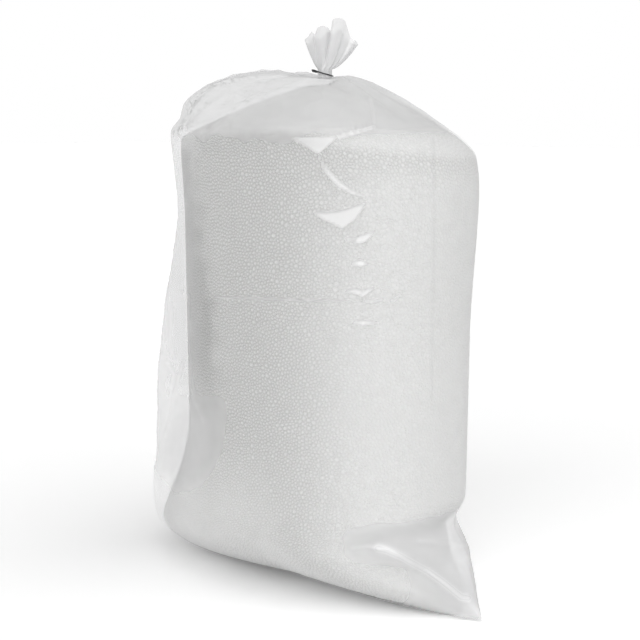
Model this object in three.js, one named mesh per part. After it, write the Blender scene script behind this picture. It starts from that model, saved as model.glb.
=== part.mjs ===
// A clear film bag of bean bag filler: a bottom-sealed film tube, full of foam beads, with its mouth
// gathered in a twisted wire tie. Millimetres, +Z up, standing on its base.
// The bottom seal runs along X, and the front of the bag faces -Y.
import * as THREE from "three";
import { ParametricGeometry } from "three/addons/geometries/ParametricGeometry.js";
import { mergeGeometries } from "three/addons/utils/BufferGeometryUtils.js";

const { clamp, lerp, smoothstep, degToRad } = THREE.MathUtils;

// Driving dimensions
const NECK_HEIGHT = 820; // the tie's height above the floor
const NECK_LENGTH = 14; // film squeezed straight, under and over the tie
const NECK_RADIUS = 10;
const NECK_CHANNEL = 2; // radius that the squeezed film leaves open inside the neck
const RIM_HEIGHT = 722; // where the wall turns in to the shoulder
const RIM_RISE = 14; // how much higher the rim is at the front
const FRONT_DIRECTION = degToRad(306);
const BELLY_HEIGHT = 129; // over which the underside rounds up to the belly
const BELLY_FRONT = 190; // reach of the belly from the bag's axis
const BELLY_BACK = 188;
const FOOT_FRONT = 30; // reach of the flat footprint under it
const FOOT_BACK = 95;
const RUFFLE_HEIGHT = 84; // loose film above the neck, at its tallest lobe
const RUFFLE_WIDTH = 84;
const RUFFLE_DEPTH = 46;
const RUFFLE_LEAN = 10; // how far its top leans along the fan
const FILM_WALL = 0.8; // thicker than real film, so that the wall is a solid
const BEAD_CLEARANCE = 2; // between the film and the bead fill
const FILL_CROWN = 71; // how far the heap rises above its own edge
const TIE_WIRE_RADIUS = 1.2;
const TIE_CLEARANCE = 0.4;
const TIE_TAIL = 9; // the twisted ends that stick out
const TIE_TURNS = 1.5;
const TIE_TILT = degToRad(14);
const TIE_DIRECTION = degToRad(250); // where its twisted ends point
const FAN_DIRECTION = degToRad(36); // where the ruffle is widest

// How finely the surfaces are divided
const SLICES = 60;
const PLEATS = 8;
const WALL_STATIONS = [
  3, 9, 18, 30, 46, 64, 80, 93, 106, 120, 150, 200, 270, 350, 440, 530, 610, 665, 695, 714,
];
const SHOULDER_STEPS = 8;
const NECK_STEPS = 2;
const RUFFLE_STEPS = 6;
const TIE_STEPS = 72;
const TIE_SIDES = 6;

const UP = new THREE.Vector3(0, 0, 1);
const FULL_TURN = 2 * Math.PI;

// A smooth curve through pairs of height and value, level before the first and after the last. It turns
// only at the pairs: its slope at each is the harmonic mean of the slopes on both sides.
function profile(...pairs) {
  const rises = pairs.slice(1).map(([z, value], i) => (value - pairs[i][1]) / (z - pairs[i][0]));
  const slopes = pairs.map((_, i) => {
    const before = rises[i - 1] ?? 0;
    const after = rises[i] ?? 0;
    return before * after > 0 ? (2 * before * after) / (before + after) : 0;
  });
  return (z) => {
    const next = pairs.findIndex(([height]) => height > z);
    if (next === 0) return pairs[0][1];
    if (next < 0) return pairs.at(-1)[1];
    const [z0, v0] = pairs[next - 1];
    const [z1, v1] = pairs[next];
    const span = z1 - z0;
    const t = (z - z0) / span;
    const bend = (1 - t) * slopes[next - 1] - t * slopes[next];
    return lerp(v0, v1, t * t * (3 - 2 * t)) + span * t * (1 - t) * bend;
  };
}

// A reach that rounds up from the footprint to the belly
const BELLY_SLANT = 0.8;
function belly(foot, full) {
  return (z) => {
    const below = clamp(1 - z / BELLY_HEIGHT, 0, 1);
    return foot + (full - foot) * (1 - below * below) ** BELLY_SLANT;
  };
}

// Reaches of the filled body from its axis, by height
const frontReach = belly(FOOT_FRONT, BELLY_FRONT);
const backReach = belly(FOOT_BACK, BELLY_BACK);
const rightReach = profile(
  [0, 284],
  [35, 276],
  [82, 246],
  [113, 226],
  [150, 242],
  [420, 243],
  [640, 254],
  [690, 249],
  [RIM_HEIGHT, 216],
);
const leftReach = profile(
  [0, 214],
  [25, 274],
  [58, 307],
  [110, 288],
  [260, 238],
  [600, 240],
  [RIM_HEIGHT, 248],
);

// Empty film beyond the beads: a fin down the left fold, and a pointed ear at the seal's right end
const leftFin = profile(
  [0, 15],
  [50, 28],
  [110, 60],
  [260, 90],
  [430, 74],
  [610, 49],
  [RIM_HEIGHT, 52],
);
const rightEar = profile(
  [0, 38],
  [35, 32],
  [72, 38],
  [88, 44],
  [130, 0],
  [RIM_HEIGHT, 4],
);
// How far the beads keep back from the film: rounded off at the top edge, and dented in by the empty ear
const fillRound = profile([680, 0], [RIM_HEIGHT, 5]);
const fillDent = profile([0, 4], [30, 8], [60, 26], [95, 24], [130, 0]);
const FIN_LEAN = 0.6; // how far the fin leans to the front, for each millimetre that it stands out
const FOLD_SPREAD = degToRad(40);
const FOLD_SHARPNESS = 1.8;
// The ends of the section come forward to the seal near the floor.
const sealOffset = profile([0, -40], [170, 0]);
const rimRise = profile([480, 0], [RIM_HEIGHT, RIM_RISE]);
const SQUARENESS = 0.9; // under 1, the section is a little squarer than an ellipse

// Slices crowd towards the two folds, where the fin and the ear need them.
const CROWDING = 0.5;
function angleAt(u) {
  const even = FULL_TURN * u;
  return even - (CROWDING / 2) * Math.sin(2 * even);
}

function signedPower(value, power) {
  return Math.sign(value) * Math.abs(value) ** power;
}

// One horizontal section: the bag's outline at a height, or the fill's, which is inset and has no folds
function sectionPoint(angle, z, inset, target) {
  const across = Math.cos(angle);
  const along = Math.sin(angle);
  const isRight = across >= 0;
  const isFill = inset > 0;
  const back = isFill ? inset + fillRound(z) : 0;
  const dent = isFill && isRight ? fillDent(z) : 0;
  const side = (isRight ? rightReach(z) : leftReach(z)) - back - dent;
  const face = (along >= 0 ? backReach(z) : frontReach(z)) - back;
  target.x = signedPower(across, SQUARENESS) * side;
  target.y = signedPower(along, SQUARENESS) * face + sealOffset(z) * Math.abs(across);
  target.z = z + rimRise(z) * Math.max(0, Math.cos(angle - FRONT_DIRECTION));
  if (!isFill) {
    const away = Math.asin(Math.min(1, Math.abs(along))) / FOLD_SPREAD;
    const fold = (isRight ? rightEar(z) : leftFin(z)) * Math.max(0, 1 - away) ** FOLD_SHARPNESS;
    target.x += isRight ? fold : -fold;
    target.y -= isRight ? 0 : FIN_LEAN * fold;
  }
  return target;
}

// Gathers: waves round the neck
function pleat(u) {
  return Math.cos(FULL_TURN * PLEATS * u + Math.sin(FULL_TURN * u));
}

const NECK_WAVE = 1.4;
const NECK_FOOT = NECK_HEIGHT - NECK_LENGTH / 2;
const NECK_TOP = NECK_HEIGHT + NECK_LENGTH / 2;
function neckPoint(u, z, target) {
  const radius = NECK_RADIUS + NECK_WAVE * pleat(u);
  return target.set(radius, 0, z).applyAxisAngle(UP, angleAt(u));
}

// The shoulder from the rim (t = 0) to the neck (t = 1): on the right a straight slope that ends in a
// level collar round the neck, and on the left a full bulge of trapped air
const FULLNESS_RIGHT = 0.9;
const FULLNESS_LEFT = 2.5;
const COLLAR_HASTE = 1.27; // how much sooner the right-hand slope is up than it is in
const LEFT_CREST = 14; // how far the bulge rises above the neck
const SHOULDER_WAVE = 7;
function shoulderPoint(u, t, target) {
  const angle = angleAt(u);
  const leftness = (1 - Math.cos(angle)) / 2;
  const power = 2 / lerp(FULLNESS_RIGHT, FULLNESS_LEFT, leftness);
  const inward = 1 - Math.max(0, Math.cos((t * Math.PI) / 2)) ** power;
  const haste = Math.min(1, t * lerp(COLLAR_HASTE, 1, leftness));
  const upward = Math.sin((haste * Math.PI) / 2) ** power;
  const wave = SHOULDER_WAVE * pleat(u) * inward + LEFT_CREST * leftness ** 2;
  const rimHeight = sectionPoint(angle, RIM_HEIGHT, 0, target).z;
  target.lerp(neckPoint(u, NECK_FOOT, new THREE.Vector3()), inward);
  return target.setZ(lerp(rimHeight, NECK_FOOT, upward) + wave * Math.sin(Math.PI * inward));
}

// The ruffle from the neck (t = 0) to the mouth (t = 1): a fan with two tall lobes and two low wings
const RUFFLE_WAVE = 0.24;
const RUFFLE_FLARE = 1.4;
const WING_SHARE = 0.5;
const SECOND_LOBE_SHARE = 0.86;
const LOBE_SHARPNESS = 1.5;
function rufflePoint(u, t, target) {
  const fanAngle = angleAt(u) - FAN_DIRECTION;
  const wing = Math.cos(fanAngle);
  const lobe = Math.sin(fanAngle);
  const wave = 1 + lerp(NECK_WAVE / NECK_RADIUS, RUFFLE_WAVE, t) * pleat(u);
  const open = Math.sin((t * Math.PI) / 2) ** RUFFLE_FLARE;
  const wide = lerp(NECK_RADIUS, RUFFLE_WIDTH / 2 / (1 + RUFFLE_WAVE), open);
  const deep = lerp(NECK_RADIUS, RUFFLE_DEPTH / 2 / (1 + RUFFLE_WAVE), open);
  const tallest = lobe < 0 ? 1 : SECOND_LOBE_SHARE;
  const height = RUFFLE_HEIGHT * lerp(WING_SHARE, tallest, Math.abs(lobe) ** LOBE_SHARPNESS);
  target.set(wide * wing * wave + RUFFLE_LEAN * t, deep * lobe * wave, NECK_TOP + height * t);
  return target.applyAxisAngle(UP, FAN_DIRECTION);
}

// The film's outer face, along a path from the middle of the base up to the mouth
const BASE_EDGE = 1;
const RIM = 2;
const NECK_START = 3;
const NECK_END = 4;
const MOUTH = 5;
function outerFilm(u, path, target) {
  if (path < BASE_EDGE) {
    sectionPoint(angleAt(u), 0, 0, target);
    return target.lerp(new THREE.Vector3(0, sealOffset(0) / 2, 0), 1 - path);
  }
  if (path < RIM) return sectionPoint(angleAt(u), RIM_HEIGHT * (path - BASE_EDGE), 0, target);
  if (path < NECK_START) return shoulderPoint(u, path - RIM, target);
  if (path < NECK_END) return neckPoint(u, lerp(NECK_FOOT, NECK_TOP, path - NECK_START), target);
  return rufflePoint(u, path - NECK_END, target);
}

// The film's inner face, one wall in from the outer face, and squeezed to a channel inside the neck
const STEP = 1e-4; // for the differences that give the outer face's normal
const SQUEEZE_BELOW = 0.25; // how far along the path the squeeze fades, under and over the neck
const SQUEEZE_ABOVE = 0.4;
const SQUEEZE_DROP = 12; // keeps the inner face under the dip round the neck
function innerFilm(u, path, target) {
  outerFilm(u, path, target);
  if (path < BASE_EDGE) return target.setZ(FILM_WALL);
  const around = outerFilm(u + STEP, path, new THREE.Vector3());
  around.sub(outerFilm(u - STEP, path, new THREE.Vector3()));
  const upward = outerFilm(u, path + STEP, new THREE.Vector3());
  upward.sub(outerFilm(u, path - STEP, new THREE.Vector3()));
  target.addScaledVector(around.cross(upward).normalize(), -FILM_WALL);
  const rising = smoothstep(path, NECK_START - SQUEEZE_BELOW, NECK_START);
  const fading = 1 - smoothstep(path, NECK_END, NECK_END + SQUEEZE_ABOVE);
  const channel = new THREE.Vector3(NECK_CHANNEL, 0, 0).applyAxisAngle(UP, angleAt(u));
  channel.z = path < NECK_START ? NECK_FOOT - SQUEEZE_DROP * (1 - rising) : target.z;
  return target.lerp(channel, rising * fading);
}

function evenSteps(from, to, count) {
  return Array.from({ length: count }, (_, i) => lerp(from, to, (i + 1) / count));
}

function turnInsideOut(geometry) {
  const corners = geometry.index;
  for (let i = 0; i < corners.count; i += 3) {
    const first = corners.getX(i);
    corners.setX(i, corners.getX(i + 2));
    corners.setX(i + 2, first);
  }
  return geometry;
}

// The bag: the outer face, the inner face behind it with the same facets, and the lip between them
function makeFilm() {
  const path = [
    0,
    BASE_EDGE,
    ...WALL_STATIONS.map((z) => BASE_EDGE + z / RIM_HEIGHT),
    RIM,
    ...evenSteps(RIM, NECK_START, SHOULDER_STEPS),
    ...evenSteps(NECK_START, NECK_END, NECK_STEPS),
    ...evenSteps(NECK_END, MOUTH, RUFFLE_STEPS),
  ];
  const stacks = path.length - 1;
  const loft = (face) =>
    new ParametricGeometry((u, v, target) => face(u, path[Math.round(v * stacks)], target), SLICES, stacks);
  const lip = (u, v, target) => (v < 0.5 ? outerFilm : innerFilm)(u, MOUTH, target);
  return mergeGeometries([
    loft(outerFilm),
    turnInsideOut(loft(innerFilm)),
    new ParametricGeometry(lip, SLICES, 1),
  ]);
}

// The bead fill stands inside the film with the same stations, so that their facets run side by side.
// It is one inset smaller all over, and ends in a heap.
const HEAP_RINGS = [0.97, 0.88, 0.74, 0.56, 0.36, 0.16, 0];
const HEAP_ROUNDNESS = 2.1;
function makeFill() {
  const inset = FILM_WALL + BEAD_CLEARANCE;
  const stations = [...WALL_STATIONS, RIM_HEIGHT];
  const heights = [0, 0, ...stations];
  const shares = [0, 1, ...stations.map(() => 1), ...HEAP_RINGS];
  const stacks = shares.length - 1;
  const surface = (u, v, target) => {
    const k = Math.round(v * stacks);
    const height = heights[k] ?? heights.at(-1);
    const share = shares[k];
    sectionPoint(angleAt(u), height, inset, target);
    target.x *= share;
    target.y = lerp(sealOffset(height) / 2, target.y, share);
    if (k >= heights.length) {
      target.z = lerp(height, target.z, share) + FILL_CROWN * (1 - share ** HEAP_ROUNDNESS);
    }
    target.z += lerp(inset, -inset, height / RIM_HEIGHT);
    return target;
  };
  return new ParametricGeometry(surface, SLICES, stacks);
}

// The tie: one wire round the neck, whose two ends are twisted together and stick out
const STRAND_SPACING = 1.15; // of the twisted strands from their axis, in wire radii
const LOOP_OPENING = degToRad(30);
const KNOT_GAP = 3; // between the loop and the twist
const LOOP_POINTS = 30;
const TAIL_POINTS = 12;
function makeTie() {
  const loopRadius = NECK_RADIUS + NECK_WAVE + TIE_CLEARANCE + TIE_WIRE_RADIUS;
  const strand = TIE_WIRE_RADIUS * STRAND_SPACING;
  const tail = (phase) =>
    evenSteps(0, 1, TAIL_POINTS).map((along) => {
      const turn = phase + FULL_TURN * TIE_TURNS * along;
      const reach = loopRadius + KNOT_GAP + TIE_TAIL * along;
      return new THREE.Vector3(reach, strand * Math.cos(turn), strand * Math.sin(turn));
    });
  const loop = evenSteps(LOOP_OPENING, FULL_TURN - LOOP_OPENING, LOOP_POINTS).map((angle) =>
    new THREE.Vector3(loopRadius, 0, 0).applyAxisAngle(UP, angle),
  );
  const wire = new THREE.CatmullRomCurve3([...tail(0).reverse(), ...loop, ...tail(Math.PI)]);
  const section = new THREE.Shape(new THREE.EllipseCurve(0, 0, TIE_WIRE_RADIUS).getPoints(TIE_SIDES));
  return new THREE.ExtrudeGeometry(section, { steps: TIE_STEPS, extrudePath: wire });
}

const film = new THREE.Mesh(
  makeFilm(),
  new THREE.MeshStandardMaterial({
    color: 0xf3f5f6,
    roughness: 0.15,
    metalness: 0,
    transparent: true,
    opacity: 0.3,
  }),
);
film.name = "film_bag";

const beads = new THREE.Mesh(
  makeFill(),
  new THREE.MeshStandardMaterial({ color: 0xf1f1ef, roughness: 0.8, metalness: 0 }),
);
beads.name = "bead_fill";

const tie = new THREE.Mesh(
  makeTie(),
  new THREE.MeshStandardMaterial({ color: 0x191a1c, roughness: 0.5, metalness: 0 }),
);
tie.name = "twist_tie";
tie.rotation.z = TIE_DIRECTION;

// The tie hangs a little lower at the fan's right-hand end.
const tieSeat = new THREE.Group();
tieSeat.add(tie);
tieSeat.position.z = NECK_HEIGHT;
const acrossFan = new THREE.Vector3(0, -1, 0).applyAxisAngle(UP, FAN_DIRECTION);
tieSeat.setRotationFromAxisAngle(acrossFan, -TIE_TILT);

const bag = new THREE.Group();
bag.add(film, beads, tieSeat);

// The origin is under the middle of the bag's outer box.
const middle = new THREE.Box3().setFromObject(bag).getCenter(new THREE.Vector3());
bag.position.set(-middle.x, -middle.y, 0);

export default bag;
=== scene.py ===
"""Looks for a clear film bag of bean bag filler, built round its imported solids."""

import logging
import math
from dataclasses import dataclass
from enum import Enum

import bmesh
import bpy
import numpy as np
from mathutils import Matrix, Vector, geometry, noise

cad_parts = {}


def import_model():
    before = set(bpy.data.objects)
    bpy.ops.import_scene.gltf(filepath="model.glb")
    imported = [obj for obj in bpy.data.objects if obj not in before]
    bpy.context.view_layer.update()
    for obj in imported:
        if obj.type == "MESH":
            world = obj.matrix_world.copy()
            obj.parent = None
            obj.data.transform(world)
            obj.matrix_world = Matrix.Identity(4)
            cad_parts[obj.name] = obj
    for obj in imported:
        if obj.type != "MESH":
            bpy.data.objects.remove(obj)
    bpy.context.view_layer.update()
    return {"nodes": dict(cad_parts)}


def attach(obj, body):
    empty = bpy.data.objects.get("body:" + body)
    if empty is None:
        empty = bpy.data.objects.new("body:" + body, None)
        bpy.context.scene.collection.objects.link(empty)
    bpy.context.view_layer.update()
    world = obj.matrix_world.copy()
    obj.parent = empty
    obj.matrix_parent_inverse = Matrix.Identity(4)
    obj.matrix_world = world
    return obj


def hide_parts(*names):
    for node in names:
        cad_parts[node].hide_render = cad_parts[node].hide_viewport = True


LOG = logging.getLogger("filler_bag")
MM = 0.001
BODY = "root"
FULL_TURN = 2.0 * math.pi
ROW_SHARE = math.sqrt(0.75)  # from row to row of beads, as a share of the way from bead to bead


# Shape of the bag, in millimetres from its own upright axis


@dataclass(frozen=True)
class Profile:
    """A smooth curve through pairs of height and value."""

    pairs: tuple[tuple[float, float], ...]

    def __call__(self, height: np.ndarray) -> np.ndarray:
        """Reads the curve, which stays level beyond its ends.

        Args:
            height: Where to read it.

        Returns:
            The values there.
        """
        knots, values = np.array(self.pairs, float).T
        gaps = np.diff(knots)
        slopes = np.diff(values) / gaps
        tangents = np.zeros(len(knots))
        same_way = slopes[:-1] * slopes[1:] > 0
        before, after = slopes[:-1][same_way], slopes[1:][same_way]
        tangents[1:-1][same_way] = 2 * before * after / (before + after)
        at = np.clip(np.asarray(height, float), knots[0], knots[-1])
        k = np.clip(np.searchsorted(knots, at, side="right") - 1, 0, len(gaps) - 1)
        t = (at - knots[k]) / gaps[k]
        return (
            values[k] * (1 + 2 * t) * (1 - t) ** 2
            + gaps[k] * tangents[k] * t * (1 - t) ** 2
            + values[k + 1] * t * t * (3 - 2 * t)
            + gaps[k] * tangents[k + 1] * t * t * (t - 1)
        )


def smoothstep(value: np.ndarray, low: float, high: float) -> np.ndarray:
    """Rises smoothly from 0 at low to 1 at high."""
    t = np.clip((np.asarray(value, float) - low) / (high - low), 0, 1)
    return t * t * (3 - 2 * t)


def hump(value: np.ndarray, start: float, full: float, fading: float, end: float) -> np.ndarray:
    """Rises from 0 at start to 1 at full, and sinks from fading back to 0 at end."""
    return smoothstep(value, start, full) * (1 - smoothstep(value, fading, end))


def bell(value: np.ndarray, middle: float, width: float) -> np.ndarray:
    """1 at the middle, sinking to 0 on both sides of it."""
    return np.exp(-(((value - middle) / width) ** 2))


def lerp(start: np.ndarray, end: np.ndarray, share: np.ndarray) -> np.ndarray:
    """Goes straight from start to end."""
    return start + (end - start) * share


@dataclass(frozen=True)
class BagForm:
    """The bag's measures, which the film and the fill share."""

    axis: tuple[float, float] = (13.09, 1.0)
    rim_height: float = 722.0
    neck_foot: float = 813.0
    neck_top: float = 827.0
    neck_radius: float = 10.0
    belly_height: float = 129.0
    belly_slant: float = 0.8
    front_reach: tuple[float, float] = (30.0, 190.0)
    back_reach: tuple[float, float] = (95.0, 188.0)
    right_reach: Profile = Profile(
        (
            (0, 284), (35, 276), (82, 246), (113, 226), (150, 242),
            (420, 243), (640, 254), (690, 247), (722, 211), (760, 155),
        )
    )
    left_reach: Profile = Profile(
        ((0, 214), (25, 274), (58, 307), (110, 288), (260, 238), (600, 240), (722, 248))
    )
    left_fin: Profile = Profile(((0, 15), (50, 28), (110, 60), (260, 90), (430, 74), (610, 49), (722, 52)))
    right_ear: Profile = Profile(((0, 38), (35, 32), (72, 38), (88, 44), (130, 0), (722, 4)))
    fill_dent: Profile = Profile(((0, 4), (30, 8), (60, 26), (95, 24), (130, 0)))
    fill_round: Profile = Profile(((680, 0), (722, 1.5)))
    seal_offset: Profile = Profile(((0, -40), (170, 0)))
    front: float = math.radians(306)
    rim_rise: Profile = Profile(((480, 0), (722, 14)))
    fin_lean: float = 0.6
    fold_spread: float = math.radians(40)
    fold_sharpness: float = 1.8
    squareness: float = 0.9
    fullness: tuple[float, float] = (0.9, 2.5)
    collar_haste: float = 1.27
    left_crest: float = 14.0
    left_slump: float = 0.045
    left_corner: float = 0.03
    dent: tuple[float, float] = (80.0, 168.0)
    shoulder_wave: float = 7.0
    neck_wave: float = 1.4
    pleats: int = 8

    def belly(self, foot: float, full: float, height: np.ndarray) -> np.ndarray:
        """Reach that rounds up from the footprint to the belly."""
        below = np.clip(1 - height / self.belly_height, 0, 1)
        return foot + (full - foot) * (1 - below * below) ** self.belly_slant

    def section(self, angle: np.ndarray, height: np.ndarray, inset: float = 0.0) -> np.ndarray:
        """Points of a level section: the film's where the inset is 0, and the fill's otherwise.

        Args:
            angle: Round the axis, from the right-hand fold towards the back.
            height: Above the floor.
            inset: How far inside the film.

        Returns:
            Points with their x, y and z in the last axis.
        """
        angle, height = np.broadcast_arrays(np.asarray(angle, float), np.asarray(height, float))
        across, along = np.cos(angle), np.sin(angle)
        is_right = across >= 0
        side = np.where(is_right, self.right_reach(height), self.left_reach(height)) - inset
        back, front = (self.belly(*reach, height) for reach in (self.back_reach, self.front_reach))
        face = np.where(along >= 0, back, front) - inset
        if inset > 0:
            side = side - self.fill_round(height) - np.where(is_right, self.fill_dent(height), 0)
            face = face - self.fill_round(height)
        x = np.sign(across) * np.abs(across) ** self.squareness * side
        y = np.sign(along) * np.abs(along) ** self.squareness * face
        y = y + self.seal_offset(height) * np.abs(across)
        if inset == 0:
            away = np.arcsin(np.clip(np.abs(along), 0, 1)) / self.fold_spread
            fold = np.where(is_right, self.right_ear(height), self.left_fin(height))
            fold = fold * np.clip(1 - away, 0, 1) ** self.fold_sharpness
            x = x + np.where(is_right, fold, -fold)
            y = y - np.where(is_right, 0, self.fin_lean * fold)
        else:
            x = x + np.where(is_right & (height > 150), self.right_ear(height) * np.abs(across) ** 8, 0)
        rise = self.rim_rise(height) * np.clip(np.cos(angle - self.front), 0, 1)
        return np.stack([x, y, height + rise], axis=-1)

    @staticmethod
    def above_ear(angle: np.ndarray) -> np.ndarray:
        """1 at the angles where the film spans the dent above the ear, and 0 away from them."""
        return hump((np.degrees(angle) + 180) % 360 - 180, -52, -30, -6, 12)

    def taut_section(self, angle: np.ndarray, height: float) -> np.ndarray:
        """A level section of the film, which is drawn tight over the dent above the ear.

        Args:
            angle: Round the axis.
            height: Above the floor.

        Returns:
            The section's points.
        """
        points = self.section(angle, height)
        low, high = self.dent
        if not low < height < high:
            return points
        foot, brow = self.section(angle, low), self.section(angle, high)
        chord = lerp(foot, brow, (height - low) / (high - low))
        tight = points.copy()
        tight[..., 0] = np.maximum(points[..., 0], chord[..., 0])
        tight[..., 1] = np.minimum(points[..., 1], chord[..., 1])
        return lerp(points, tight, self.above_ear(angle)[..., None])

    def turn_share(self, angle: np.ndarray) -> np.ndarray:
        """How far round the pleats an angle is: the pleats crowd to the folds."""
        shares = np.linspace(0, 1, 721)
        return np.interp(angle, FULL_TURN * shares - 0.25 * np.sin(2 * FULL_TURN * shares), shares)

    def pleat(self, angle: np.ndarray) -> np.ndarray:
        """Gathers: waves round the neck."""
        share = FULL_TURN * self.turn_share(angle)
        return np.cos(self.pleats * share + np.sin(share))

    def neck(self, angle: np.ndarray, height: np.ndarray) -> np.ndarray:
        """Points of the squeezed neck.

        Args:
            angle: Round the axis.
            height: Above the floor.

        Returns:
            One point for each angle and height.
        """
        angle, height = np.broadcast_arrays(np.asarray(angle, float), np.asarray(height, float))
        radius = self.neck_radius + self.neck_wave * self.pleat(angle)
        return np.stack([radius * np.cos(angle), radius * np.sin(angle), height], axis=-1)

    def bulge(self, angle: np.ndarray) -> tuple[np.ndarray, np.ndarray]:
        """How far to the left an angle is, from 0 to 1, and the power that rounds the shoulder there."""
        leftness = (1 - np.cos(angle)) / 2
        return leftness, 2 / lerp(self.fullness[0], self.fullness[1], leftness)

    def shoulder(self, angle: np.ndarray, climb: np.ndarray) -> np.ndarray:
        """Points of the shoulder.

        Args:
            angle: Round the axis.
            climb: From 0 at the rim to 1 at the neck.

        Returns:
            One point for each angle and climb.
        """
        angle, climb = np.broadcast_arrays(np.asarray(angle, float), np.asarray(climb, float))
        leftness, power = self.bulge(angle)
        inward = 1 - np.clip(np.cos(climb * math.pi / 2), 0, 1) ** power
        haste = np.minimum(1, climb * lerp(self.collar_haste, 1.0, leftness))
        upward = np.sin(haste * math.pi / 2) ** power
        wave = self.shoulder_wave * self.pleat(angle) * inward + self.left_crest * leftness**2
        rim = self.section(angle, self.rim_height)
        points = lerp(rim, self.neck(angle, self.neck_foot), inward[..., None])
        corner = self.left_corner * bell(climb, 0.55, 0.1)
        slump = self.left_slump * bell(climb, 0.16, 0.13) * smoothstep(climb, 0, 0.14)
        points[..., :2] *= 1 + (leftness**4 * (corner - slump))[..., None]
        points[..., 2] = lerp(rim[..., 2], self.neck_foot, upward) + wave * np.sin(math.pi * inward)
        return points

    def roof(self, angle: np.ndarray, share: np.ndarray) -> np.ndarray:
        """Heights of the shoulder.

        Args:
            angle: Round the axis.
            share: From 0 at the neck to 1 at the rim.

        Returns:
            One height for each angle and share.
        """
        _, power = self.bulge(angle)
        climb = np.arccos(np.clip(share, 0, 1) ** (1 / power)) / (math.pi / 2)
        return self.shoulder(angle, climb)[..., 2]

    def in_frame(self, points: np.ndarray) -> np.ndarray:
        """Points in metres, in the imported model's frame."""
        return (points + np.array([*self.axis, 0.0])) * MM


# Camera, which also says where a fold that was seen in the picture lies on the film


@dataclass(frozen=True)
class Viewpoint:
    """The camera's place, its aim and its lens."""

    place: tuple[float, float, float] = (1.1445, -1.5695, 0.748)
    azimuth: float = math.radians(36)
    pitch: float = math.radians(9.45)
    lens: float = 67.5
    sensor: float = 36.0
    width: int = 640

    def axes(self) -> tuple[np.ndarray, np.ndarray, np.ndarray]:
        """The camera's directions.

        Returns:
            Right, up and forward.
        """
        right = np.array([math.cos(self.azimuth), math.sin(self.azimuth), 0.0])
        ahead = np.array([-math.sin(self.azimuth), math.cos(self.azimuth), 0.0])
        down = np.array([0.0, 0.0, -1.0])
        forward = math.cos(self.pitch) * ahead + math.sin(self.pitch) * down
        return right, np.cross(right, forward), forward

    def project(self, points: np.ndarray) -> np.ndarray:
        """Where points in metres show in the picture.

        Args:
            points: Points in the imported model's frame.

        Returns:
            Columns from the left and rows from the top in the last axis, in picture units.
        """
        right, up, forward = self.axes()
        ray = points - np.array(self.place)
        scale = self.width * self.lens / self.sensor / (ray @ forward)
        middle = self.width / 2
        return np.stack([middle + scale * (ray @ right), middle - scale * (ray @ up)], axis=-1)

    def make(self) -> bpy.types.Object:
        """Adds the camera and makes it the scene's own.

        Returns:
            The camera.
        """
        aim = (math.pi / 2 - self.pitch, 0.0, self.azimuth)
        bpy.ops.object.camera_add(location=self.place, rotation=aim)
        camera = bpy.context.object
        camera.name = "front_camera"
        camera.data.lens = self.lens
        camera.data.sensor_width = self.sensor
        bpy.context.scene.camera = camera
        return camera


# Mesh helpers


def mesh_piece(name: str, points: np.ndarray, faces: np.ndarray) -> bpy.types.Object:
    """Makes a smooth mesh object at the origin.

    Args:
        name: The piece's name.
        points: Its points, in metres.
        faces: Rows of corner numbers, all with as many corners.

    Returns:
        The new object, linked to the scene.
    """
    mesh = bpy.data.meshes.new(name)
    sides = faces.shape[1]
    mesh.vertices.add(len(points))
    mesh.vertices.foreach_set("co", np.asarray(points, np.float32).ravel())
    mesh.loops.add(faces.size)
    mesh.loops.foreach_set("vertex_index", faces.astype(np.int32).ravel())
    mesh.polygons.add(len(faces))
    mesh.polygons.foreach_set("loop_start", np.arange(0, faces.size, sides, dtype=np.int32))
    mesh.polygons.foreach_set("use_smooth", np.ones(len(faces), dtype=bool))
    mesh.update(calc_edges=True)
    mesh.validate()
    piece = bpy.data.objects.new(name, mesh)
    bpy.context.scene.collection.objects.link(piece)
    return piece


def point_values(piece: bpy.types.Object, name: str, values: np.ndarray) -> None:
    """Stores one number for each of a piece's points, for its material to read."""
    layer = piece.data.attributes.new(name, "FLOAT", "POINT")
    layer.data.foreach_set("value", np.asarray(values, np.float32).ravel())


def ripple(points: np.ndarray, size: float, seed: float) -> np.ndarray:
    """Smooth noise between about -1 and 1.

    Args:
        points: Where to read it, in millimetres.
        size: How far apart its waves are.
        seed: Which noise it is.

    Returns:
        One number for each point.
    """
    shift = Vector((seed, 2.3 * seed, -1.7 * seed))
    flat = points.reshape(-1, 3) / size
    values = np.fromiter((noise.noise(Vector(p) + shift) for p in flat), float, len(flat))
    return values.reshape(points.shape[:-1])


def triangulate_round(flat: np.ndarray, around: float) -> np.ndarray:
    """Triangles between points on a surface that closes on itself.

    Args:
        flat: Points by their way round and their way up.
        around: How long the way round is.

    Returns:
        Rows of three point numbers.
    """
    margin = 0.05 * around
    near_end = np.flatnonzero(flat[:, 0] > around - margin)
    near_start = np.flatnonzero(flat[:, 0] < margin)
    numbers = np.concatenate([np.arange(len(flat)), near_end, near_start])
    turn = np.array([around, 0.0])
    spread = np.concatenate([flat, flat[near_end] - turn, flat[near_start] + turn])
    faces = triangulate(spread, [], 0)
    middle = spread[faces, 0].mean(axis=1)
    return numbers[faces[(middle >= 0) & (middle < around)]]


def directed_edges(faces: np.ndarray) -> np.ndarray:
    """Both ends of each triangle's three edges: first the first edge of every triangle."""
    return np.concatenate([faces[:, [0, 1]], faces[:, [1, 2]], faces[:, [2, 0]]])


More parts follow.
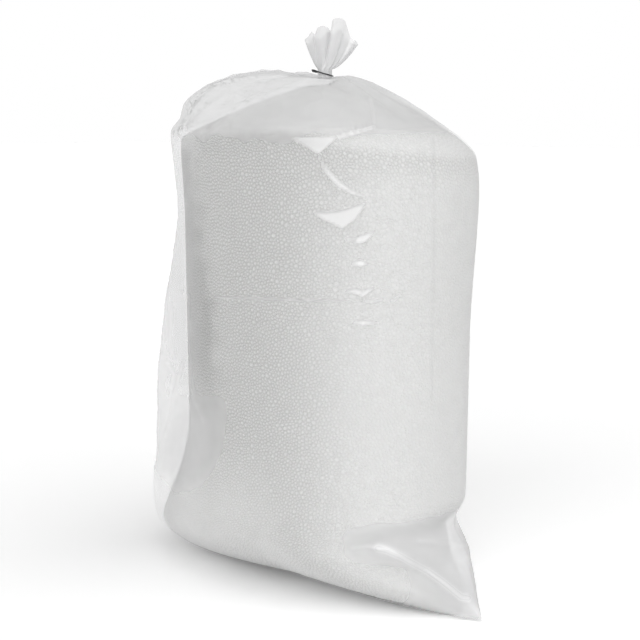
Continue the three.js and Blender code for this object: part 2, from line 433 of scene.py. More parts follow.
def triangulate(flat: np.ndarray, edges: list[tuple[int, int]], extent: int) -> np.ndarray:
    """Triangles between flat points, the rounder the better.

    Args:
        flat: Points in a plane.
        edges: Pairs of point numbers that stay joined.
        extent: 0 for all that the points span, 1 for what the edges enclose.

    Returns:
        Rows of three point numbers, counter-clockwise.
    """
    result = geometry.delaunay_2d_cdt([Vector(point) for point in flat], edges, [], extent, 1e-6)
    numbers = np.array([origin[0] for origin in result[3]])
    return numbers[np.array(result[2])]


def relax(points: np.ndarray, faces: np.ndarray, floor: float) -> np.ndarray:
    """Evens out the spacing of the points above a floor.

    Args:
        points: Points in millimetres.
        faces: Triangles between them.
        floor: Height under which points stay where they are.

    Returns:
        The moved points.
    """
    start, end = directed_edges(faces).T
    neighbours = np.bincount(start, minlength=len(points))[:, None]
    for _ in range(3):
        total = np.zeros_like(points)
        np.add.at(total, start, points[end])
        moved = lerp(points, total / neighbours, 0.5)
        points = np.where(points[:, 2:] > floor, moved, points)
    return points


# Finishes


class Nodes:
    """A material's node tree, with short ways to add and join nodes."""

    def __init__(self, name: str) -> None:
        """Starts a material with one shader."""
        self.material = bpy.data.materials.new(name)
        self.material.use_nodes = True
        self.tree = self.material.node_tree
        self.shader = self.tree.nodes["Principled BSDF"]

    def add(self, kind: str, **values: object) -> bpy.types.Node:
        """Adds a node.

        Args:
            kind: The node's type.
            **values: Its own options.

        Returns:
            The node.
        """
        node = self.tree.nodes.new(kind)
        for name, value in values.items():
            setattr(node, name, value)
        return node

    def noise(self, scale: float, detail: float) -> bpy.types.NodeSocket:
        """Adds fine noise that is fixed to the piece.

        Args:
            scale: How fine it is.
            detail: How much finer noise it holds.

        Returns:
            The noise's strength.
        """
        node = self.add("ShaderNodeTexNoise")
        node.inputs["Scale"].default_value = scale
        node.inputs["Detail"].default_value = detail
        self.join(self.add("ShaderNodeTexCoord").outputs["Object"], node.inputs["Vector"])
        return node.outputs["Fac"]

    def join(self, source: bpy.types.NodeSocket, target: bpy.types.NodeSocket) -> None:
        """Joins an output to an input."""
        self.tree.links.new(source, target)

    def mix(self, share: bpy.types.NodeSocket, low: tuple, high: tuple) -> bpy.types.NodeSocket:
        """Mixes two colours.

        Args:
            share: From 0 for the first to 1 for the second.
            low: The first colour.
            high: The second colour.

        Returns:
            The mixed colour.
        """
        node = self.add("ShaderNodeMix", data_type="RGBA")
        self.join(share, node.inputs["Factor"])
        node.inputs["A"].default_value = (*low, 1.0)
        node.inputs["B"].default_value = (*high, 1.0)
        return node.outputs["Result"]

    def read(self, name: str) -> bpy.types.NodeSocket:
        """Reads one of the piece's own point values."""
        return self.add("ShaderNodeAttribute", attribute_name=name).outputs["Fac"]


@dataclass(frozen=True)
class BeadFinish:
    """White expanded foam."""

    crown: tuple[float, float, float] = (0.90, 0.90, 0.895)
    # The gap colour is painted shade, where shade falls between the beads.
    gap: tuple[float, float, float] = (0.62, 0.62, 0.61)
    crown_height: float = 0.9
    roughness: float = 0.7
    specular: float = 0.3

    def material(self) -> bpy.types.Material:
        """Makes the material: painted shade in the gaps between the beads, and a tone of each bead's own.

        Returns:
            The material.
        """
        nodes = Nodes("white_foam")
        # Painted shade: low on each dome, towards the gaps, the colour darkens to the gap colour.
        height = nodes.add("ShaderNodeMapRange", interpolation_type="SMOOTHSTEP")
        height.inputs["From Max"].default_value = self.crown_height
        nodes.join(nodes.read("dome"), height.inputs["Value"])
        colour = nodes.mix(height.outputs["Result"], self.gap, self.crown)
        tone = nodes.add("ShaderNodeMix", data_type="RGBA", blend_type="MULTIPLY")
        tone.inputs["Factor"].default_value = 1.0
        nodes.join(colour, tone.inputs["A"])
        nodes.join(nodes.read("tone"), tone.inputs["B"])
        nodes.join(tone.outputs["Result"], nodes.shader.inputs["Base Color"])
        nodes.shader.inputs["Roughness"].default_value = self.roughness
        nodes.shader.inputs["Specular IOR Level"].default_value = self.specular
        return nodes.material


@dataclass(frozen=True)
class FilmFinish:
    """Clear polythene film, a little hazy."""

    pale: tuple[float, float, float] = (0.88, 0.88, 0.885)
    # The grey is painted shade, mixed into the film's colour by its painted_shade value.
    painted_shade_grey: tuple[float, float, float] = (0.45, 0.45, 0.455)
    gloss: float = 2.4
    ripples: float = 55.0
    ripple_strength: float = 0.12

    def material(self) -> bpy.types.Material:
        """Makes the material: haze, painted shade and dullness from the film's own values, and fine ripples.

        Returns:
            The material.
        """
        nodes = Nodes("clear_film")
        sockets = nodes.shader.inputs
        bump = nodes.add("ShaderNodeBump")
        bump.inputs["Strength"].default_value = self.ripple_strength
        bump.inputs["Distance"].default_value = MM
        nodes.join(nodes.noise(self.ripples, 3.0), bump.inputs["Height"])
        nodes.join(bump.outputs["Normal"], sockets["Normal"])
        nodes.join(nodes.read("haze"), sockets["Alpha"])
        # Painted shade: the film's colour goes from pale to grey where its painted_shade value rises.
        nodes.join(nodes.mix(nodes.read("painted_shade"), self.pale, self.painted_shade_grey), sockets["Base Color"])
        nodes.join(nodes.read("dull"), sockets["Roughness"])
        sockets["IOR"].default_value = self.gloss
        return nodes.material


@dataclass(frozen=True)
class TieFinish:
    """Black plastic coating on wire."""

    colour: tuple[float, float, float] = (0.012, 0.012, 0.013)
    worn: tuple[float, float, float] = (0.05, 0.05, 0.052)
    scuffs: float = 900.0
    roughness: float = 0.45

    def material(self) -> bpy.types.Material:
        """Makes the material: a satin black with paler scuffs.

        Returns:
            The material.
        """
        nodes = Nodes("tie_coating")
        colour = nodes.mix(nodes.noise(self.scuffs, 2.0), self.colour, self.worn)
        nodes.join(colour, nodes.shader.inputs["Base Color"])
        nodes.shader.inputs["Roughness"].default_value = self.roughness
        return nodes.material


# Pieces


@dataclass
class BeadFill:
    """The heap of foam beads: a closed skin of domes, one for each bead that shows."""

    form: BagForm
    finish: bpy.types.Material
    inset: float = 1.6
    pitch: float = 5.5
    base_pitch: float = 12.0
    base_height: float = 16.0
    heap_height: float = 84.0
    heap_roundness: float = 1.35
    dome: float = 4.0
    shallowest: float = 0.4
    rise: tuple[float, float] = (0.15, 0.37)
    sink: float = 0.7
    # The flat_ shares make the domes shallower and their painted gap shade paler.
    flat_right: float = 0.8
    flat_low_left: float = 0.6
    flat_heap: float = 0.5
    flat_by_fin: float = 0.75
    tones: tuple[float, float] = (0.97, 1.0)
    gap_tone: float = 0.98
    film_gap: float = 2.5
    most_lift: float = 30.0
    jitter: float = 0.35
    seed: int = 7

    @property
    def top(self) -> float:
        """Height of the edge where the wall turns into the heap."""
        return self.form.rim_height

    def ring(self, angle: np.ndarray, height: float) -> np.ndarray:
        """Points of the wall at one height.

        Args:
            angle: Round the axis.
            height: Of the film's section that the ring is inside.

        Returns:
            One point for each angle.
        """
        points = self.form.section(angle, height, self.inset)
        points[:, 2] += lerp(self.inset, -self.inset, height / self.form.rim_height)
        return points

    def inside(self, angle: np.ndarray, height: float, share: np.ndarray) -> np.ndarray:
        """Points of the base or the heap.

        Args:
            angle: Round the axis.
            height: Of the edge that bounds the base or the heap.
            share: From 0 in the middle to 1 at the edge.

        Returns:
            One point for each angle and share.
        """
        middle = np.array([0.0, float(self.form.seal_offset(height)) / 2, height])
        points = lerp(middle, self.ring(angle, height), share[:, None])
        if height == self.top:
            heap = points[:, 2] + self.heap_height * (1 - share**self.heap_roundness)
            rightness = smoothstep(np.cos(angle - 0.6), 0.25, 0.7)
            under_film = np.minimum(self.form.roof(angle, share) - self.film_gap, heap + self.most_lift)
            lifted = rightness * smoothstep(1 - share, 0, 0.1)
            points[:, 2] = lerp(heap, np.maximum(heap, under_film), lifted)
        return points

    def wall(self) -> tuple[np.ndarray, np.ndarray, int, int]:
        """Beads of the wall.

        Returns:
            Bead centres, triangles between them, and how many beads the lowest and the highest row have.
        """
        random = np.random.default_rng(self.seed)
        even = np.linspace(0, FULL_TURN, 721)
        heights = np.linspace(0.0, self.top, 260)
        outlines = np.stack([self.ring(even, height) for height in heights])
        girths = np.linalg.norm(np.diff(outlines, axis=1), axis=2).cumsum(axis=1)
        girths = np.concatenate([np.zeros((len(heights), 1)), girths], axis=1)
        climb = np.linalg.norm(np.diff(outlines, axis=0), axis=2).mean(axis=1)
        climb = np.concatenate([[0], np.cumsum(climb)])
        pitch = np.where(heights < self.base_height, self.base_pitch, self.pitch)
        count = np.concatenate([[0], np.cumsum(np.diff(climb) / (pitch[1:] * ROW_SHARE))])
        rows = np.linspace(0, count[-1], round(count[-1]) + 1)
        level, share, sizes = [], [], []
        numbers = np.arange(len(heights))
        margin = 0.3 * self.pitch
        for number, row in enumerate(rows):
            here = np.interp(row, count, numbers)
            size = round(np.interp(here, numbers, girths[:, -1] / pitch))
            is_edge = number in (0, len(rows) - 1)
            shake = 0.0 if is_edge else self.jitter
            share.append((np.arange(size) + random.normal(0, shake, size) + random.uniform()) / size)
            shift = (random.normal(0, shake, size) * self.pitch).clip(-self.pitch, self.pitch)
            up = np.interp(here, numbers, climb) + shift
            level.append(up.clip(margin * (number > 0), climb[-1] - margin * (not is_edge)))
            sizes.append(size)
        level, share = np.concatenate(level), np.concatenate(share) % 1.0
        around = girths[:, -1].mean()
        faces = triangulate_round(np.stack([share * around, level], axis=1), around)
        beads = self.place(outlines, girths, np.interp(level, climb, np.arange(len(climb))), share)
        return beads, faces, sizes[0], sizes[-1]

    @staticmethod
    def place(outlines: np.ndarray, girths: np.ndarray, row: np.ndarray, share: np.ndarray) -> np.ndarray:
        """Points between the wall's outlines.

        Args:
            outlines: Each outline, evenly round the axis.
            girths: The length along each outline at each of its points.
            row: Outline numbers, with parts of one.
            share: Shares of the way round.

        Returns:
            One point for each row and share.
        """
        low = np.minimum(row.astype(int), len(outlines) - 2)
        ends = []
        for rows in (low, low + 1):
            points = np.empty((len(row), 3))
            for number in np.unique(rows):
                mine = rows == number
                at = share[mine] * girths[number, -1]
                for axis in range(3):
                    points[mine, axis] = np.interp(at, girths[number], outlines[number, :, axis])
            ends.append(points)
        return lerp(ends[0], ends[1], (row - low)[:, None])

    def cap(self, edge: np.ndarray, height: float, pitch: float) -> tuple[np.ndarray, np.ndarray]:
        """Beads of the base or the heap, inside an edge that the wall already has.

        Args:
            edge: The edge's bead centres.
            height: Of the ring that the edge is on.
            pitch: From bead to bead.

        Returns:
            The bead centres inside the edge, and triangles that count the edge's beads first.
        """
        random = np.random.default_rng(self.seed + 1)
        middle = edge.mean(axis=0)
        radius = np.linalg.norm(edge - middle, axis=1).mean()
        girth = np.linalg.norm(edge - np.roll(edge, 1, axis=0), axis=1).sum()
        step = pitch * ROW_SHARE / radius
        rings = []
        for share in np.arange(1 - step, 0, -step):
            size = max(5, round(girth * share / pitch))
            turn = (np.arange(size) + random.normal(0, self.jitter, size) + random.uniform()) / size
            shares = share + step * random.normal(0, self.jitter, size).clip(-0.8, 0.8)
            rings.append(self.inside(turn * FULL_TURN, height, shares))
        inside = np.concatenate(rings)
        border = [(k, (k + 1) % len(edge)) for k in range(len(edge))]
        return inside, triangulate(np.concatenate([edge, inside])[:, :2], border, 1)

    def skin(self) -> tuple[np.ndarray, np.ndarray]:
        """Bead centres, and the triangles between them.

        Returns:
            Points in millimetres, and rows of three point numbers.
        """
        wall, faces, low, high = self.wall()
        base, base_faces = self.cap(wall[:low], 0.0, self.base_pitch)
        heap, heap_faces = self.cap(wall[-high:], self.top, self.pitch)
        first, last = len(wall) + len(base), len(wall)
        base_numbers = np.concatenate([np.arange(low), np.arange(last, first)])
        heap_numbers = np.concatenate([np.arange(last - high, last), first + np.arange(len(heap))])
        faces = np.concatenate([faces, base_numbers[base_faces][:, ::-1], heap_numbers[heap_faces]])
        return relax(np.concatenate([wall, base, heap]), faces, self.base_height), faces

    def domes(self, skin: np.ndarray, faces: np.ndarray) -> tuple[np.ndarray, np.ndarray, np.ndarray]:
        """Turns bead centres into domes that meet in the gaps between them.

        Args:
            skin: Bead centres.
            faces: Triangles between them.

        Returns:
            Points, triangles, and for each point how high it is on its dome.
        """
        random = np.random.default_rng(self.seed + 1)
        corner = skin[faces]
        facing = np.cross(corner[:, 1] - corner[:, 0], corner[:, 2] - corner[:, 0])
        outward = np.zeros_like(skin)
        for k in range(3):
            np.add.at(outward, faces[:, k], facing)
        outward /= np.linalg.norm(outward, axis=1, keepdims=True)
        tilt = facing / np.maximum(np.linalg.norm(facing, axis=1, keepdims=True), 1e-9)
        relief = self.relief(skin, outward)
        depth = self.dome * lerp(self.shallowest, 1.0, relief)
        tops = skin + outward * (depth * random.uniform(*self.rise, len(skin)))[:, None]
        gap_relief = relief[faces].mean(axis=1)
        gap_depth = self.sink * self.dome * lerp(self.shallowest, 1.0, gap_relief)
        gaps = corner.mean(axis=1) - tilt * gap_depth[:, None]
        edges = directed_edges(faces)
        owner = np.tile(np.arange(len(faces)), 3)
        code = edges[:, 0] * len(skin) + edges[:, 1]
        order = np.argsort(code)
        back = edges[:, 1] * len(skin) + edges[:, 0]
        other = owner[order[np.searchsorted(code[order], back)]]
        cells = np.stack([edges[:, 0], len(skin) + other, len(skin) + owner], axis=1)
        # Painted shade: gap points sit low on the dome value, lower where the gap is deeper, so they show
        # darker.
        height = np.concatenate([np.ones(len(skin)), 0.8 * (1 - gap_relief)])
        return np.concatenate([tops, gaps]), cells, height

    def relief(self, skin: np.ndarray, outward: np.ndarray) -> np.ndarray:
        """How deep the gaps between the beads are, and so how dark their painted shade is: shallower and
        paler where the beads face the side light, on the heap, low on the left and beside the fin.

        Args:
            skin: Bead centres.
            outward: Directions that they face.

        Returns:
            Shares of the full depth.
        """
        azimuth = np.arctan2(outward[:, 0], -outward[:, 1])
        height = skin[:, 2]
        right = smoothstep(np.cos(azimuth - math.radians(85)), 0.0, 0.75)
        right *= 1 - 0.45 * smoothstep(height, 640, 700)
        low_left = (1 - smoothstep(height, 120, 300)) * (1 - smoothstep(azimuth, -0.1, 0.25))
        heap = smoothstep(outward[:, 2], 0.15, 0.45)
        beside_fin = smoothstep(-skin[:, 0], 90, 170)
        flattened = (
            (self.flat_right, right),
            (self.flat_low_left, low_left),
            (self.flat_heap, heap),
            (self.flat_by_fin, beside_fin),
        )
        return math.prod(1 - share * where for share, where in flattened)

    def build(self) -> bpy.types.Object:
        """Builds the fill and dresses it.

        Returns:
            The piece.
        """
        skin, faces = self.skin()
        points, cells, height = self.domes(skin, faces)
        piece = mesh_piece("bead_heap", self.form.in_frame(points), cells)
        # The dome value sets the painted shade in the gaps between the beads.
        point_values(piece, "dome", height)
        random = np.random.default_rng(self.seed + 2)
        tone = random.uniform(*self.tones, len(height))
        point_values(piece, "tone", np.where(height > 0.5, tone, self.gap_tone))
        ends = np.empty(len(piece.data.edges) * 2, np.int32)
        piece.data.edges.foreach_get("vertices", ends)
        gap_edge = (ends.reshape(-1, 2) >= len(skin)).all(axis=1)
        sharp = piece.data.attributes.new("sharp_edge", "BOOLEAN", "EDGE")
        sharp.data.foreach_set("value", gap_edge)
        piece.data.materials.append(self.finish)
        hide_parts("bead_fill")
        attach(piece, BODY)
        return piece


class FoldKind(Enum):
    """How a fold stands out of the film."""

    CREASE = "a sharp line"
    PUCKER = "a flat patch that tilts up, sharp along its upper edge"


@dataclass(frozen=True)
class Fold:
    """A fold of the film, by where it shows in the picture.

    Attributes:
        kind: How it stands out.
        edge: The crease's line, or the pucker's upper edge.
        foot: The pucker's lower edge.
        size: The crease's height in millimetres, or the slope that the pucker leans back to.
        width: The crease's half width, or how far the pucker takes to sink back, in picture units.
        painted_highlight: How strongly a crease is painted as a highlight along its line, from 0 to 1.
    """

    kind: FoldKind
    edge: tuple[tuple[float, float], ...]
    foot: tuple[tuple[float, float], ...]
    size: float
    width: float
    painted_highlight: float = 0.2

    def along(self, spot: np.ndarray) -> np.ndarray:
        """1 along a crease's line, and 0 away from it.

        Args:
            spot: Columns and rows in the picture.

        Returns:
            One number for each spot.
        """
        ends = np.array(self.edge, float)
        nearest = np.full(spot.shape[:-1], np.inf)
        for start, end in zip(ends[:-1], ends[1:]):
            way = end - start
            share = np.clip((spot - start) @ way / (way @ way), 0, 1)
            gap = spot - start - share[..., None] * way
            nearest = np.minimum(nearest, np.linalg.norm(gap, axis=-1))
        return bell(nearest, 0.0, self.width)

    def lift(self, spot: np.ndarray, lean: np.ndarray, rise: np.ndarray) -> np.ndarray:
        """How far the fold lifts the film.

        Args:
            spot: Columns and rows in the picture, for the film row by row from the base.
            lean: The slope that the smooth film leans back to there.
            rise: The way from each row of the film to the next, in millimetres.

        Returns:
            Lifts in millimetres.
        """
        if self.kind is FoldKind.CREASE:
            return self.size * self.along(spot)
        upper, lower, inside = self.bounds(spot)
        row = spot[..., 1]
        within = (row > upper) & (row < lower)
        climbed = np.cumsum((self.size - lean) * rise * inside * within, axis=0)
        whole = climbed[-1]
        reach = self.width + np.maximum(lower - upper, 0)
        sink_down = 1 - smoothstep((row - lower) / reach, 0, 1)
        sink_up = 1 - smoothstep((upper - row) / reach, 0, 1)
        return np.where(whole >= 0, whole * sink_down - climbed, -climbed * sink_up) * inside

    def bounds(self, spot: np.ndarray) -> tuple[np.ndarray, np.ndarray, np.ndarray]:
        """The bounds of a pucker.

        Args:
            spot: Columns and rows in the picture.

        Returns:
            Rows of its upper and lower edge, and whether the spot is between its ends.
        """
        column = spot[..., 0]
        upper = np.interp(column, *np.array(self.edge, float).T)
        lower = np.interp(column, *np.array(self.foot, float).T)
        return upper, lower, (column >= self.edge[0][0]) & (column <= self.edge[-1][0])

    def patch(self, spot: np.ndarray) -> np.ndarray:
        """1 on a pucker's own patch of film, a crease's painted highlight along its line, and 0 away from
        them.

        Args:
            spot: Columns and rows in the picture.

        Returns:
            One number for each spot.
        """
        if self.kind is FoldKind.CREASE:
            return self.painted_highlight * self.along(spot)
        upper, lower, inside = self.bounds(spot)
        row = spot[..., 1]
        return inside * smoothstep(row - upper, -1, 1.5) * smoothstep(lower - row, -1, 1.5)


PUCKERS = (  # upper edge, lower edge, the slope that it leans back to, how far it takes to sink back
    (
        ((292, 138), (315, 137.5), (337, 137)),
        ((292, 138), (306, 146), (319, 154), (328, 146), (337, 137)),
        0.28,
        14,
    ),
    (((337, 136), (355, 131), (375, 127)), ((337, 139.5), (355, 134.5), (375, 128.5)), 0.28, 8),
    (
        ((319, 154), (323, 162), (330, 171), (339, 181), (352, 189), (366, 196)),
        ((319, 157), (323, 168), (330, 178), (339, 187), (352, 194), (366, 197)),
        0.28,
        10,
    ),
    (
        ((311, 211), (325, 213), (340, 211), (355, 206), (367, 201.5)),
        ((311, 211), (325, 220), (335, 224), (343, 228), (355, 219), (367, 202)),
        0.28,
        14,
    ),
    (
        ((345, 238), (356, 237), (366, 233.5), (375, 231)),
        ((345, 239), (354, 242.5), (364, 242.5), (375, 233)),
        0.28,
        10,
    ),
    (((351, 263), (361, 258.5), (368, 263)), ((351, 264), (360, 266.5), (368, 265)), 0.3, 9),
    (
        ((346, 290), (357, 288), (363, 290.5), (375, 286)),
        ((346, 291.5), (356, 294), (363, 296.5), (375, 288)),
        0.3,
        10,
    ),
    (((352, 322), (362, 319), (378, 322)), ((352, 323), (362, 325), (378, 323.5)), 0.31, 10),
)
CREASES = (  # line, height, half width, painted highlight
    (((433, 140), (434, 200), (433, 300), (431, 400)), 1.2, 1.8, 0.2),
    (((215, 297), (300, 300), (366, 301), (400, 297)), 0.9, 1.8, 0.2),
    (((366, 300), (374, 301.5), (381, 300)), 0.6, 1.5, 0.9),
    (((391, 301), (396, 300), (399, 294)), 0.8, 1.4, 0.9),
    (((370, 100), (373, 112), (374, 128)), 1.0, 1.6, 0.2),
    (((378, 548), (386, 550), (400, 556), (425, 570), (441, 581), (461, 597), (468, 598)), 3.5, 3.6, 1.0),
    (((352, 549), (368, 547), (380, 549)), 2.0, 2.0, 0.2),
    (((420, 541), (443, 543), (467, 545)), 2.0, 3.0, 0.2),
    (((317, 77), (284, 91), (243, 106), (206, 137)), 4.0, 4.0, 0.2),
    (((184, 362), (178, 385), (174, 405), (171, 420), (167, 437)), 2.5, 2.2, 0.2),
    (((172, 305), (171, 345), (176, 362)), 2.0, 2.0, 0.2),
    (((184, 292), (190, 294), (190, 350), (195, 400), (205, 422)), 2.0, 2.2, 0.2),
    (((169, 362), (175, 375), (172, 385)), 2.0, 2.0, 0.2),
)
PICTURE_FOLDS = (
    *(Fold(FoldKind.PUCKER, *values) for values in PUCKERS),
    *(Fold(FoldKind.CREASE, line, (), *values) for line, *values in CREASES),
)


@dataclass
class FilmParts:
    """Parts of the smooth film: each is 1 on its part and 0 away from it, at each of the film's points.

    Attributes:
        grid: The film's points, row by row from the base.
        body_rows: How many rows come before the neck.
        form: The bag's measures.
        view: Where the picture was taken from.
        folds: The folds that the picture shows.
        fin_line: Where the fin starts in the picture, as rows and columns.
        arc_line: Where the bulge of trapped air starts in the picture, as columns and rows.
    """

    grid: np.ndarray
    body_rows: int
    form: BagForm
    view: Viewpoint
    folds: tuple[Fold, ...] = PICTURE_FOLDS
    fin_line: tuple[tuple[float, float], ...] = (
        (145, 180), (200, 184), (300, 192), (400, 195), (450, 188), (490, 171)
    )
    arc_line: tuple[tuple[float, float], ...] = ((206, 137), (243, 106), (284, 91), (317, 77), (330, 60))

    def __post_init__(self) -> None:
        """Finds which way the film faces, where it shows and how squarely it faces the camera there."""
        along = np.roll(self.grid, -1, axis=1) - np.roll(self.grid, 1, axis=1)
        facing = np.cross(along, np.gradient(self.grid, axis=0))
        self.facing = facing / np.maximum(np.linalg.norm(facing, axis=-1, keepdims=True), 1e-9)
        place = self.form.in_frame(self.grid)
        towards = np.array(self.view.place) - place
        towards /= np.linalg.norm(towards, axis=-1, keepdims=True)
        self.squarely = smoothstep((self.facing * towards).sum(axis=-1), 0.02, 0.25)
        self.spot = self.view.project(place)
        self.column, self.row = np.moveaxis(self.spot, -1, 0)
        self.x, self.y, self.height = np.moveaxis(self.grid, -1, 0)
        self.angle = np.arctan2(self.y, self.x)
        self.past_fin = self.column - np.interp(self.row, *np.array(self.fin_line, float).T)

    def right(self) -> np.ndarray:
        """The right side, where the film lies close on the fill."""
        return smoothstep(self.x, 120, 220)

    def fin(self) -> np.ndarray:
        """The empty fin down the left fold."""
        return bell(np.abs(self.angle), math.pi, 0.22) * smoothstep(self.height, 40, 120)

    def beside_fin(self) -> np.ndarray:
        """The band that runs down the front beside the fin, which gets the most painted shade.

        Returns:
            One number for each of the film's points.
        """
        width = 13 + 8 * smoothstep(self.row, 220, 320) + 8 * ripple(self.grid, 30.0, 3.3)
        beside = smoothstep(self.past_fin, -34, 2) * (1 - smoothstep(self.past_fin, width - 9, width + 9))
        return self.squarely * beside * hump(self.row, 140, 160, 350, 430)

    def low_fold(self) -> np.ndarray:
        """The doubled film where the fin runs out into the lower left corner."""
        return self.squarely * hump(self.past_fin, -34, -10, 12, 40) * hump(self.row, 385, 430, 460, 500)

    def low_corner(self) -> np.ndarray:
        """The lower left corner itself, where the film is single."""
        return smoothstep(-self.x, 215, 270) * (1 - smoothstep(self.height, 90, 160))

    def ear(self) -> np.ndarray:
        """The empty ear at the seal's right end."""
        return bell(self.angle, 0.0, 0.33) * hump(self.height, 2, 12, 100, 135)

    def spanned(self) -> np.ndarray:
        """The film that spans the dent above the ear."""
        low, high = self.form.dent
        return hump(self.height, low, low + 30, high - 45, high) * self.form.above_ear(self.angle)

    def shoulder(self) -> np.ndarray:
        """The empty shoulder, above the rim."""
        return smoothstep(self.height, self.form.rim_height + 4, self.form.rim_height + 30)

    def by_neck(self) -> np.ndarray:
        """The upper part of the shoulder, where the film gathers."""
        return self.shoulder() * (1 - smoothstep(np.hypot(self.x, self.y), 40, 150))

    def veil(self) -> np.ndarray:
        """The milky film above the fill, whose lower edge wanders."""
        wander = 24.0 * ripple(self.grid, 36.0, 8.1) * (1 - smoothstep(self.x, 40, 160))
        return smoothstep(self.height + wander, self.form.rim_height - 4, self.form.rim_height + 22)

    def air_bulge(self) -> np.ndarray:
        """The bulge of trapped air behind the fold that runs from the neck to the left."""
        return smoothstep(np.interp(self.column, *np.array(self.arc_line, float).T) - self.row, -5, 5)

    def glossy(self) -> np.ndarray:
        """The film's taut puckers, and its creases by their painted highlight: glossier, milkier and
        ungreyed.
        """
        return self.squarely * np.clip(sum(fold.patch(self.spot) for fold in self.folds), 0, 1)


@dataclass(frozen=True)
class FilmHaze:
    """How milky the film is in each of its parts, from 0 to 1."""

    front: float = 0.24
    right: float = 0.16
    fin: float = 0.35
    ear: float = 0.78
    shoulder: float = 0.43
    air_bulge: float = 0.37
    beside_fin: float = 0.315
    low_fold: float = 0.55
    spanned: float = 0.6
    low_corner: float = 0.12
    by_neck: float = 0.42
    glossy: float = 0.3
    uneven: float = 0.02
    ruffle: float = 0.62

    def over(self, parts: FilmParts) -> np.ndarray:
        """How milky the film is at each point: most where it is empty or gathered, and on the puckers and
        creases, partly as a painted highlight.

        Args:
            parts: The film's parts.

        Returns:
            Shares from 0 to 1.
        """
        haze = lerp(self.front, self.right, parts.right())
        above = lerp(self.shoulder, self.air_bulge, parts.air_bulge())
        layers = (
            (parts.fin(), self.fin),
            (parts.ear(), self.ear),
            (parts.veil(), above),
            (parts.beside_fin(), self.beside_fin),
            (parts.low_fold(), self.low_fold),
            (parts.spanned(), self.spanned),
            (parts.low_corner(), self.low_corner),
            (parts.by_neck(), self.by_neck),
        )
        for part, level in layers:
            haze = lerp(haze, level, part)
        # The puckers, where the film lifts off the beads, and the creases are made milkier: partly the lifted
        # film, partly a painted highlight.
        haze += self.glossy * parts.glossy() + self.uneven * ripple(parts.grid, 25.0, 5.9)
        haze[parts.body_rows :] = self.ruffle
        return haze.clip(0.05, 0.9)


@dataclass(frozen=True)
class PaintedFilmShade:
    """How much painted shade greys the film in each of its parts, from 0 to 1."""

    fin: float = 0.09
    shoulder: float = 0.03
    ear_front: float = 0.18
    ear_back: float = 0.45
    spanned: float = 0.2
    ruffle: float = 0.21

    def over(self, parts: FilmParts) -> np.ndarray:
        """How much painted shade greys the film at each point: most in the band beside the fin, least on the
        puckers and creases.

        Args:
            parts: The film's parts.

        Returns:
            Shares from 0 to 1.
        """
        # Painted shade: most in the band beside the fin, a little on the fin.
        painted_shade = lerp(parts.beside_fin() + self.fin * parts.fin(), self.shoulder, parts.shoulder())
        # Painted shade on the ear, more on its back half, which faces the side light more.
        behind = smoothstep(parts.angle, -0.08, 0.06)
        painted_shade = painted_shade + lerp(self.ear_front, self.ear_back, behind) * parts.ear()
        # Painted highlight: the puckers and creases lose their painted shade.
        painted_shade = lerp(painted_shade, self.spanned, parts.spanned()) * (1 - parts.glossy())
        painted_shade[parts.body_rows :] = self.ruffle
        return painted_shade


RUFFLE_MOUTH = (  # to the right, to the front and up, from the top of the neck
    (52, 0, 38), (48, 8, 44), (40, 6, 50), (34, 10, 67), (30, 15, 75), (21, 17, 78), (12, 14, 75), (9, 6, 60),
    (4, 13, 64), (-4, 15, 66), (-12, 11, 63), (-16, 5, 54), (-21, 8, 58), (-27, 5, 50), (-32, 0, 46),
    (-26, -8, 40), (-18, -3, 50), (-8, -13, 48), (4, -7, 58), (14, -15, 56), (25, -8, 62), (34, -14, 48),
    (44, -5, 40),
)


